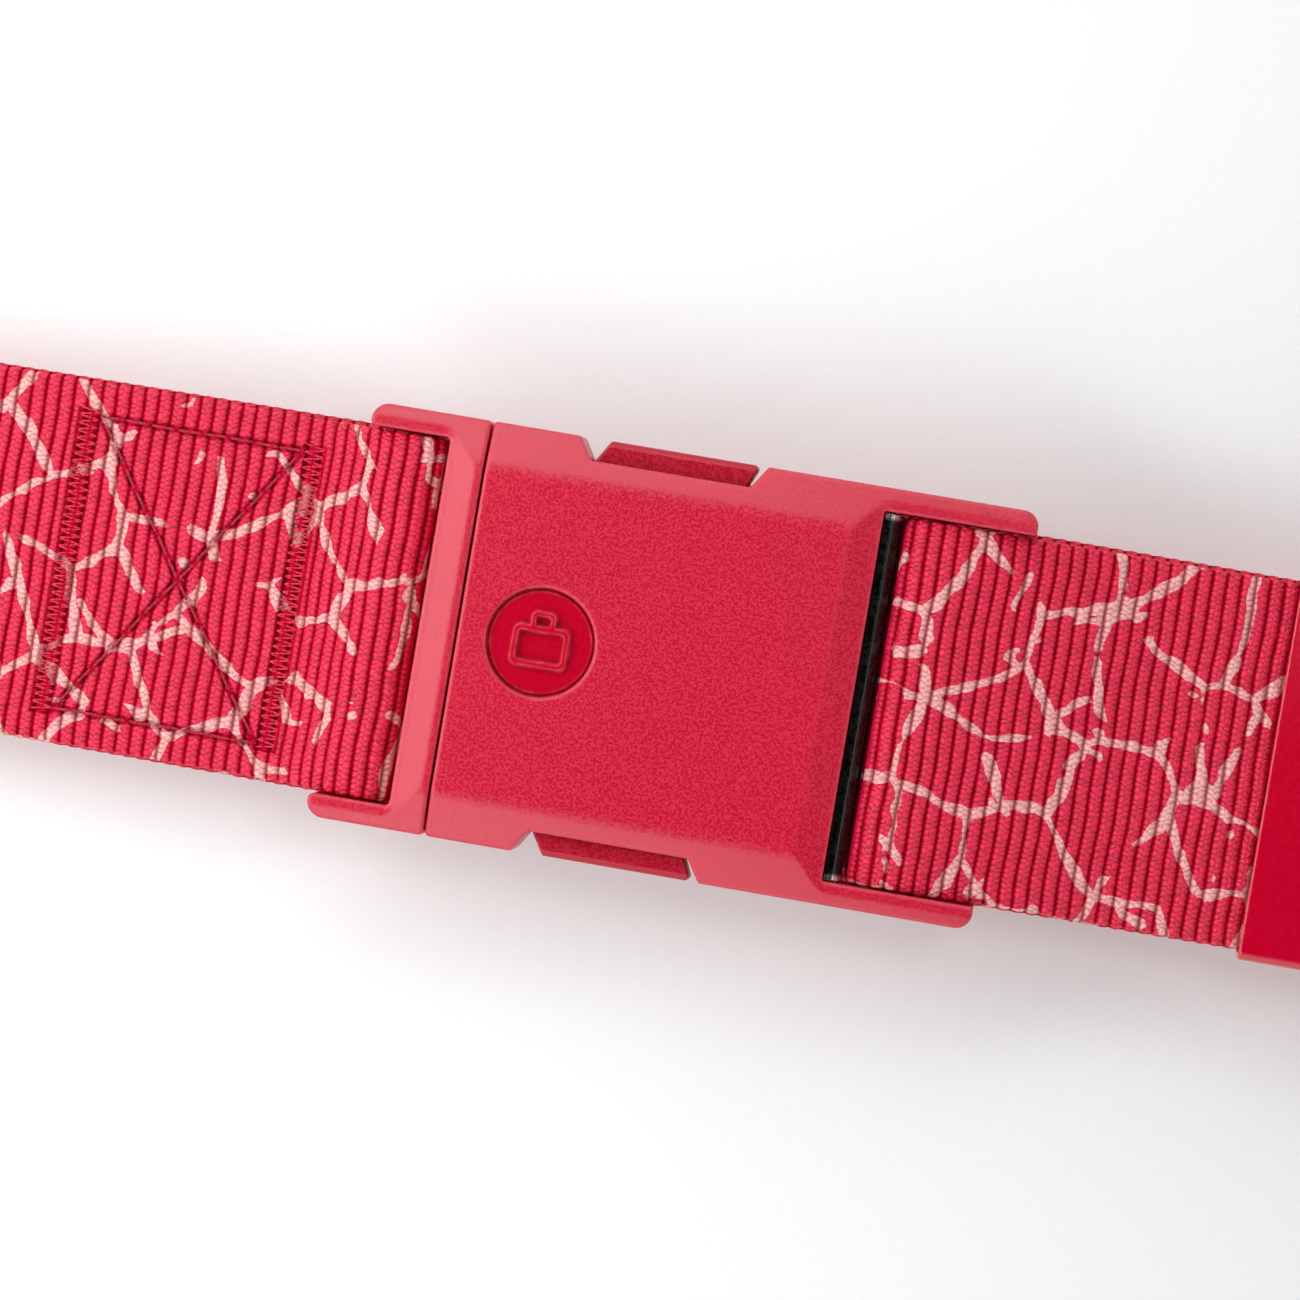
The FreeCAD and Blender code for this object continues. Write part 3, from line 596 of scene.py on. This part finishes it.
def groove_group():
    """Where the sewing pulls the webbing in: the box's rows, its diagonals and its bar tacks."""
    tree, given, put = new_group(
        "sewn_groove", [("Place", VECTOR, None), ("Reach", FLOAT, GROOVE_REACH)], [("Mask", FLOAT)],
    )
    parts = add(tree, "ShaderNodeSeparateXYZ", {0: given.outputs["Place"]})
    middle = (BOX_LEFT + BOX_RIGHT) / 2
    half_length = (BOX_RIGHT - BOX_LEFT) / 2 - TACK
    along = maths(tree, "ABSOLUTE", maths(tree, "SUBTRACT", parts.outputs[0], middle))
    across = maths(tree, "ABSOLUTE", parts.outputs[1])
    slope = (BOX_HALF - CROSS_MARGIN) / (half_length - DIAGONAL_INSET)
    row = maths(tree, "ABSOLUTE", maths(tree, "SUBTRACT", across, BOX_HALF))
    diagonal = maths(tree, "MULTIPLY", maths(tree, "ABSOLUTE", maths(
        tree, "SUBTRACT", across, maths(tree, "MULTIPLY", along, slope))), 1 / math.hypot(1, slope))
    nearest = maths(tree, "MINIMUM", row, diagonal)
    near = ramp(tree, maths(tree, "DIVIDE", nearest, given.outputs["Reach"]), low=1.0, high=0.25)
    in_box = maths(tree, "LESS_THAN", along, half_length)
    in_rows = maths(tree, "LESS_THAN", across, BOX_HALF + MM)
    from_tack = maths(tree, "ABSOLUTE", maths(tree, "SUBTRACT", along, half_length + TACK / 2))
    tack_shoulder = 0.3 * MM
    tack = ramp(tree, from_tack, TACK / 2 + tack_shoulder, TACK / 2 - tack_shoulder)
    raised = maths(tree, "GREATER_THAN", parts.outputs[2], TOP_RUN - HALF)
    sewn = maths(tree, "MAXIMUM", maths(tree, "MULTIPLY", near, in_box), tack)
    mask = maths(tree, "MULTIPLY", maths(tree, "MULTIPLY", sewn, in_rows), raised)
    tree.links.new(mask, put.inputs["Mask"])
    return tree


def grain_group():
    """The fine spark-eroded grain of moulded plastic, with a faint speckle."""
    tree, given, put = new_group(
        "mould_grain",
        [("Place", VECTOR, None), ("Size", FLOAT, PLASTIC_GRAIN)],
        [("Height", FLOAT), ("Speckle", FLOAT), ("Cloud", FLOAT)],
    )
    place = given.outputs["Place"]
    density = maths(tree, "DIVIDE", 1.0, given.outputs["Size"])
    height = noise(tree, place, density, detail=2.0, roughness=0.6)
    coarser = noise(tree, place, maths(tree, "MULTIPLY", density, 0.8), detail=1.0)
    speckle = ramp(tree, coarser, low=0.36, high=0.64)
    cloud = noise(tree, place, scale=45.0, detail=3.0)
    for name, value in (("Height", height), ("Speckle", speckle), ("Cloud", cloud)):
        tree.links.new(value, put.inputs[name])
    return tree


def wear_and_highlight_group():
    """Where an edge is lightened, partly as a worn edge and partly as a painted highlight: 1 on the
    edge, broken up by noise.
    """
    tree, given, put = new_group(
        "edge_wear_and_highlight",
        [("Place", VECTOR, None), ("Radius", FLOAT, WEAR_AND_HIGHLIGHT_RADIUS)],
        [("Mask", FLOAT)],
    )
    rounded = add(tree, "ShaderNodeBevel", {"Radius": given.outputs["Radius"]}, samples=4)
    geometry = tree.nodes.new("ShaderNodeNewGeometry")
    alike = add(tree, "ShaderNodeVectorMath", {
        0: rounded.outputs[0], 1: geometry.outputs["Normal"]}, operation="DOT_PRODUCT")
    edge = ramp(tree, alike.outputs["Value"], low=0.995, high=0.90)
    broken = noise(tree, given.outputs["Place"], scale=700.0, detail=3.0)
    patchy = ramp(tree, broken, low=0.40, high=0.65, to_low=0.25, to_high=1.0)
    tree.links.new(maths(tree, "MULTIPLY", edge, patchy), put.inputs["Mask"])
    return tree


WEAVE, CRACKLE, GROOVE = weave_group(), crackle_group(), groove_group()
GRAIN, WEAR_AND_HIGHLIGHT = grain_group(), wear_and_highlight_group()


def object_place(tree):
    """Object coordinates."""
    return tree.nodes.new("ShaderNodeTexCoord").outputs["Object"]


def bump(tree, shader, height, distance, edge_radius=None):
    """Feeds a height into the shader's normal, over edges softened by a radius if one is given."""
    made = add(tree, "ShaderNodeBump", {"Height": height, "Distance": distance, "Strength": 1.0})
    if edge_radius:
        softened = add(tree, "ShaderNodeBevel", {"Radius": edge_radius}, samples=6)
        tree.links.new(softened.outputs[0], made.inputs["Normal"])
    tree.links.new(made.outputs[0], shader.inputs["Normal"])


# ---------------------------------------------------------------- materials


def printed_webbing():
    """Crimson ribbed webbing with a pale pink crackle on its outer side, and painted shade in its rib
    valleys and along its sewing.
    """
    material, tree, shader = new_material("crimson_webbing", specular_ior_level=0.45)
    flat = add(tree, "ShaderNodeAttribute", attribute_name="flat").outputs["Vector"]
    weave = placed(tree, WEAVE, {"Flat": flat})
    print_mask = placed(tree, CRACKLE, {"Flat": flat}).outputs["Mask"]
    groove = placed(tree, GROOVE, {"Place": object_place(tree)}).outputs["Mask"]
    outer = maths(tree, "LESS_THAN", add(tree, "ShaderNodeSeparateXYZ", {0: flat}).outputs[2], 0.0)
    # The crimson and the pale pink print both take the painted bead highlight and shade.
    dye_with_bead_shade = blended(tree, weave.outputs["Bead Shade And Mottle"], colour(150, 0, 26), colour(246, 14, 74))
    ink_with_bead_shade = blended(tree, weave.outputs["Bead Shade And Mottle"], colour(206, 118, 124), colour(250, 182, 178))
    face = blended(tree, maths(tree, "MULTIPLY", print_mask, outer), dye_with_bead_shade, ink_with_bead_shade)
    # Painted shade: the valleys between the ribs are darkened in the colour.
    shade = blended(tree, weave.outputs["Valley"], (1, 1, 1, 1), colour(176, 120, 128))
    # Painted shade along the sewn rows, the diagonals and over the bar tacks, where the webbing is
    # pulled in.
    valley_and_groove_shade = blended(tree, maths(tree, "MULTIPLY", groove, 0.6), shade, colour(150, 80, 90), "MULTIPLY")
    deep = blended(tree, 1.0, face, valley_and_groove_shade, "MULTIPLY")
    tree.links.new(deep, shader.inputs["Base Color"])
    rough = ramp(tree, weave.outputs["Height"], low=0.2, high=1.0, to_low=0.58, to_high=0.34)
    valley_rough = maths(tree, "MULTIPLY_ADD", weave.outputs["Valley"], 0.4, rough)
    tree.links.new(valley_rough, shader.inputs["Roughness"])
    hidden = maths(tree, "MAXIMUM", weave.outputs["Valley"], groove)
    shine = ramp(tree, hidden, low=0.1, high=0.8, to_low=0.48, to_high=0.03)
    tree.links.new(shine, shader.inputs["Specular IOR Level"])
    height = maths(tree, "SUBTRACT", weave.outputs["Height"], maths(tree, "MULTIPLY", groove, 1.4))
    bump(tree, shader, height, distance=0.3 * MM)
    return material


def sewing_thread(name, dark, light):
    """Twisted sewing thread, whose light and dark strands are partly its own colour and partly a painted
    highlight and shade on the twist.
    """
    material, tree, shader = new_material(name, specular_ior_level=0.4)
    place = object_place(tree)
    twist = noise(tree, place, scale=3800.0, detail=2.0)
    strand_and_highlight = ramp(tree, twist, low=0.35, high=0.65)
    rough = ramp(tree, twist, low=0.3, high=0.7, to_low=0.7, to_high=0.45)
    # Lighter where the twist stands up: partly a painted highlight.
    tree.links.new(blended(tree, strand_and_highlight, dark, light), shader.inputs["Base Color"])
    tree.links.new(rough, shader.inputs["Roughness"])
    bump(tree, shader, twist, distance=0.08 * MM)
    return material


def moulded_red(name, dark, light, grain_size, grain_depth, rough, edge_radius, **constants):
    """Red moulded plastic: grain, speckle, cloudy tone, and pale edges that are partly worn and partly a
    painted highlight.
    """
    material, tree, shader = new_material(name, **constants)
    place = object_place(tree)
    grain_node = placed(tree, GRAIN, {"Place": place, "Size": grain_size})
    wear_and_highlight = placed(tree, WEAR_AND_HIGHLIGHT, {"Place": place}).outputs["Mask"]
    tone = maths(tree, "ADD", maths(tree, "MULTIPLY", grain_node.outputs["Speckle"], 0.6),
                 maths(tree, "MULTIPLY", grain_node.outputs["Cloud"], 0.4))
    body = blended(tree, tone, dark, light)
    # Painted highlight on the edges, pale pink, mixed with real worn edges.
    rubbed_and_highlit = blended(tree, maths(tree, "MULTIPLY", wear_and_highlight, 0.35), body, colour(246, 120, 128))
    tree.links.new(rubbed_and_highlit, shader.inputs["Base Color"])
    matt = ramp(tree, grain_node.outputs["Speckle"], 0.0, 1.0, *rough)
    polished = maths(tree, "SUBTRACT", matt, maths(tree, "MULTIPLY", wear_and_highlight, 0.1))
    tree.links.new(polished, shader.inputs["Roughness"])
    bump(tree, shader, grain_node.outputs["Height"], grain_depth, edge_radius=edge_radius)
    return material


def blackened_steel():
    """Black plated steel, bright at both ends: worn bare, and a painted highlight."""
    material, tree, shader = new_material("blackened_steel", metallic=1.0)
    place = object_place(tree)
    grain_node = placed(tree, GRAIN, {"Place": place, "Size": 0.6 * MM})
    wear_and_highlight = placed(tree, WEAR_AND_HIGHLIGHT, {"Place": place, "Radius": 0.4 * MM}).outputs["Mask"]
    across = maths(tree, "ABSOLUTE", add(tree, "ShaderNodeSeparateXYZ", {0: place}).outputs[1])
    worn_and_glinting_end = ramp(tree, across, low=24.0 * MM, high=24.7 * MM)
    bright = maths(tree, "MAXIMUM", worn_and_glinting_end, maths(tree, "MULTIPLY", wear_and_highlight, 0.25))
    plate = blended(tree, grain_node.outputs["Cloud"], colour(44, 48, 46), colour(66, 70, 66))
    # The bright ends and edges are partly bare worn steel and partly a painted highlight.
    tree.links.new(blended(tree, bright, plate, colour(208, 210, 206)), shader.inputs["Base Color"])
    rough = ramp(tree, grain_node.outputs["Speckle"], 0.0, 1.0, to_low=0.18, to_high=0.28)
    tree.links.new(rough, shader.inputs["Roughness"])
    bump(tree, shader, grain_node.outputs["Height"], distance=0.02 * MM)
    return material


def paint(material, *nodes):
    """Gives CAD nodes their finish."""
    for name in nodes:
        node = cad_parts[name]
        node.data.materials.clear()
        node.data.materials.append(material)


def finish_piece(piece, body, material, slot, *nodes):
    """Material, body and the CAD nodes that a piece stands for. The slot argument is not used."""
    piece.data.materials.clear()
    piece.data.materials.append(material)
    if body:
        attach(piece, body)
    if nodes:
        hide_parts(*nodes)


# ---------------------------------------------------------------- camera, light and floor

CAMERA_DISTANCE = 0.6607
CAMERA_TARGET = Vector((-0.00327, 0.00146, 0.018))
CAMERA_TURN = {"X": -1.0, "Y": 4.0, "Z": 9.697}  # degrees

PAPER_SIZE = 4.0
PAPER_DROP = 0.2 * MM  # below the strap

CEILING = 0.01
WALLS = 1.27
WALL_TOP, WALL_FOOT = 0.85, 0.35  # heights on the dome between which the walls brighten
SOFT_BOXES = {  # direction, distance, size and power
    "back_strip": ((-0.4, 0.56, 0.82), 0.36, (0.5, 0.12), 0.66),
    "front_strip": ((-0.4, -0.56, 0.82), 0.36, (0.5, 0.12), 0.6),
    "low_left_box": ((-1.0, 0.0, 0.55), 0.34, (0.12, 0.2), 0.2),
    "left_back_box": ((-0.9, 0.5, 0.7), 0.36, (0.12, 0.14), 0.03),
    "near_left": ((-0.5, 0.1, 0.75), 0.24, (0.1, 0.12), 0.025),
    "keeper_sheen": ((0.127, 0.09, 0.42), 0.45, (0.09, 0.09), 0.13),
}


def place_camera():
    """Looks nearly straight down, with the strap running down to the right."""
    turn = Matrix.Identity(3)
    for axis, degrees in CAMERA_TURN.items():
        turn = turn @ Matrix.Rotation(math.radians(degrees), 3, axis)
    bpy.ops.object.camera_add()
    camera = bpy.context.object
    camera.data.lens = 135
    camera.data.sensor_width = 36
    camera.data.clip_start = 0.01
    camera.location = CAMERA_TARGET + turn.col[2] * CAMERA_DISTANCE
    camera.rotation_euler = turn.to_euler()
    bpy.context.scene.camera = camera


def soft_box(name, direction, distance, size, power):
    """A rectangular soft light that faces the buckle from a direction."""
    way = Vector(direction).normalized()
    bpy.ops.object.light_add(type="AREA", location=way * distance)
    lamp = bpy.context.object
    lamp.name = name
    lamp.data.shape = "RECTANGLE"
    lamp.data.size, lamp.data.size_y = size
    lamp.data.energy = power
    lamp.rotation_euler = way.to_track_quat("Z", "Y").to_euler()


def paper_floor():
    """White paper, wider than the view."""
    bpy.ops.mesh.primitive_plane_add(size=PAPER_SIZE, location=(0, 0, -PAPER_DROP))
    floor = named("paper_floor")
    material, tree, shader = new_material("white_paper", roughness=0.95, specular_ior_level=0.1)
    tooth = noise(tree, object_place(tree), scale=900.0, detail=3.0)
    paper = blended(tree, tooth, (0.85, 0.864, 0.864, 1), (0.88, 0.894, 0.894, 1))
    tree.links.new(paper, shader.inputs["Base Color"])
    floor.data.materials.append(material)


def soft_dome():
    """A studio whose walls are brighter than its ceiling."""
    world = bpy.data.worlds.new("soft_dome")
    bpy.context.scene.world = world
    world.use_nodes = True
    tree = world.node_tree
    direction = tree.nodes.new("ShaderNodeTexCoord").outputs["Generated"]
    height = add(tree, "ShaderNodeSeparateXYZ", {0: direction})
    ceiling = tree.nodes["Background"]
    ceiling.inputs["Strength"].default_value = CEILING
    ceiling.inputs["Color"].default_value = (1, 1, 1, 1)
    walls = add(tree, "ShaderNodeBackground", {"Strength": WALLS})
    tree.links.new(ramp(tree, height.outputs[2], WALL_TOP, WALL_FOOT), walls.inputs["Color"])
    both = add(tree, "ShaderNodeAddShader", {0: ceiling.outputs[0], 1: walls.outputs[0]})
    tree.links.new(both.outputs[0], tree.nodes["World Output"].inputs["Surface"])


def light_the_stage():
    """Softboxes around the strap, under the dome."""
    paper_floor()
    soft_dome()
    for name, settings in SOFT_BOXES.items():
        soft_box(name, *settings)
    bpy.context.scene.view_settings.view_transform = "Standard"


place_camera()
light_the_stage()

# ---------------------------------------------------------------- pieces

WEBBING = printed_webbing()
THREAD = sewing_thread("dark_crimson_thread", colour(110, 0, 26), colour(190, 20, 54))
TACK_THREAD = sewing_thread("crimson_tack_thread", colour(160, 0, 34), colour(228, 34, 72))
BUCKLE = moulded_red(
    "grained_red_plastic", dark=colour(174, 0, 38), light=colour(206, 8, 56),
    grain_size=PLASTIC_GRAIN, grain_depth=0.015 * MM, rough=(0.28, 0.44), edge_radius=0.8 * MM,
    specular_ior_level=0.68,
)
# Painted shade: a darker copy of the red plastic for the latch arms, which sit in shadow between the two
# halves.
SHADED_LATCH = moulded_red(
    "grained_red_latch_in_painted_shade", dark=colour(158, 0, 32), light=colour(178, 2, 42),
    grain_size=PLASTIC_GRAIN, grain_depth=0.017 * MM, rough=(0.28, 0.44), edge_radius=0.3 * MM,
    specular_ior_level=0.4,
)
BADGE = moulded_red(
    "polished_red_plastic", dark=colour(178, 0, 36), light=colour(186, 0, 40),
    grain_size=0.4 * MM, grain_depth=0.002 * MM, rough=(0.22, 0.26), edge_radius=0.2 * MM,
    specular_ior_level=0.25,
)
KEEPER = moulded_red(
    "glossy_red_plastic", dark=colour(190, 0, 38), light=colour(196, 2, 44),
    grain_size=0.6 * MM, grain_depth=0.003 * MM, rough=(0.11, 0.14), edge_radius=0.5 * MM,
    specular_ior_level=0.5, coat_weight=0.5, coat_roughness=0.1,
)
STEEL = blackened_steel()

paint(BUCKLE, "buckle_body", "plug_frame")
paint(SHADED_LATCH, "latch_arm_back", "latch_arm_front")
paint(BADGE, "badge")
paint(KEEPER, "keeper")
paint(STEEL, "lock_bar")


def make_webbing():
    """The strap, cut where its stretches move differently."""
    floor_to = STORED_FROM + RIGHT_TANGENT - LEFT_TANGENT
    pieces = {
        "sewn_webbing": (0.0, STORED_FROM, 10, 20, "plug", ["webbing_sewn_end"]),
        "floor_webbing": (STORED_FROM, floor_to, 6, 12, None, []),
        "folded_webbing": (floor_to, STORED_TO, 4, 10, "socket", ["webbing_folds"]),
        "tail_webbing": (STORED_TO, ROUTE_LENGTH, 8, 20, "socket", ["webbing_tail"]),
    }
    for name, (start, end, stations, rows, body, nodes) in pieces.items():
        strip = webbing(name, start, end, stations, rows)
        finish_piece(strip, body, WEBBING, "webbing", *nodes)
        if body is None:
            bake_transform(strip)


def make_sewing():
    """The sewn box, its diagonals and its two bar tacks."""
    left, right = BOX_LEFT + TACK, BOX_RIGHT - TACK
    side = BOX_HALF - CROSS_MARGIN
    box_rows = [
        stitch_row("box_stitching", (left, BOX_HALF), (right, BOX_HALF)),
        stitch_row("box_front_row", (left, -BOX_HALF), (right, -BOX_HALF)),
    ]
    cross_rows = [
        stitch_row("cross_stitching", (left + DIAGONAL_INSET, -side), (right - DIAGONAL_INSET, side)),
        stitch_row("cross_back_row", (left + DIAGONAL_INSET, side), (right - DIAGONAL_INSET, -side)),
    ]
    sewn = {
        "box_stitch": box_rows,
        "cross_stitch": cross_rows,
        "bar_tack_outer": [tack_row("outer_tack", BOX_LEFT, left)],
        "bar_tack_inner": [tack_row("inner_tack", right, BOX_RIGHT)],
    }
    for node, rows in sewn.items():
        thread = TACK_THREAD if node.startswith("bar_tack") else THREAD
        finish_piece(sewn_through(rows), "plug", thread, "thread", node)


make_webbing()
make_sewing()
